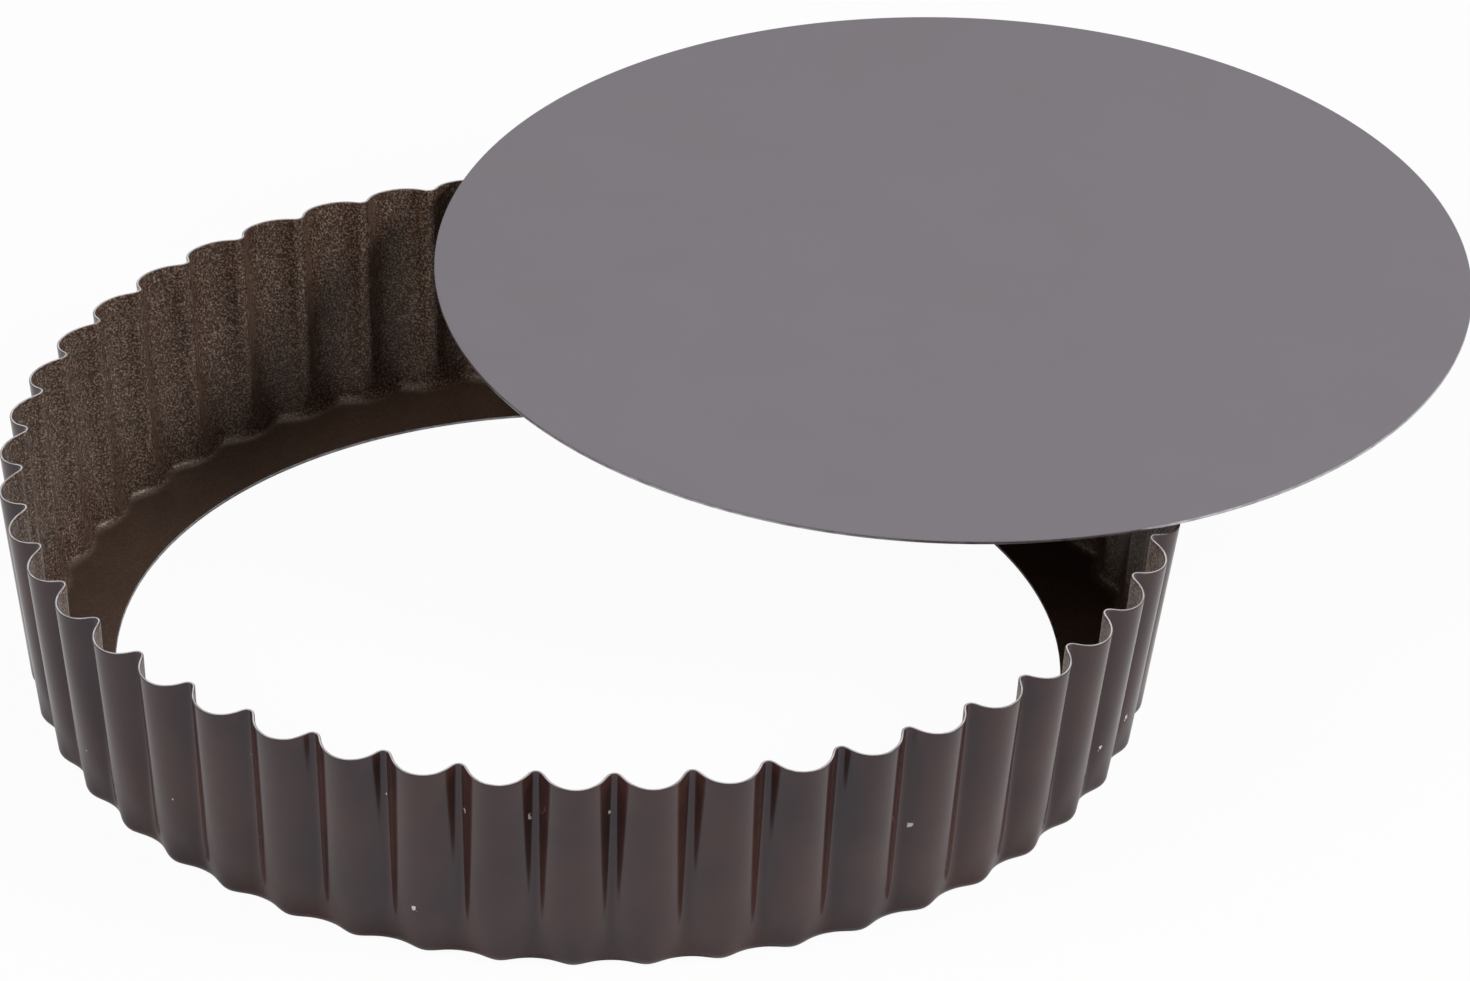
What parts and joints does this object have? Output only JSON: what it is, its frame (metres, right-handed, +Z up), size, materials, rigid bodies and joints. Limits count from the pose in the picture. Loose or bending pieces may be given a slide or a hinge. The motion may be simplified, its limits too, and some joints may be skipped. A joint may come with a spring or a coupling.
{
  "type": "deep fluted tart pan",
  "caption": "Deep round tart pan in coated steel sheet: a fluted, flared ring with an inward flange at its foot, and a loose flat base that lies across its rim and seats on the flange.",
  "frame": {"origin": "on the floor, under the middle of the space that the ring and the base lying on its rim take up together", "axes": "+Z up along the axis of the ring and of the base; the front of the pan faces -Y; the base is shifted towards +X and +Y"},
  "size_m": [0.314, 0.3214, 0.0501],
  "materials": {
    "ring_coat": "dark brown-grey non-stick coat on steel sheet, glossy outside and finely granular inside",
    "base_coat": "satin grey non-stick coat on steel sheet"
  },
  "bodies": {
    "ring": {"fluted_ring": "ring_coat"},
    "base": {"loose_base": "base_coat"}
  },
  "joints": [
    {"name": "base_lift", "type": "slide", "parent": "ring", "child": "base", "axis": [0, 0, 1], "range_m": [0, 0.1]}
  ]
}
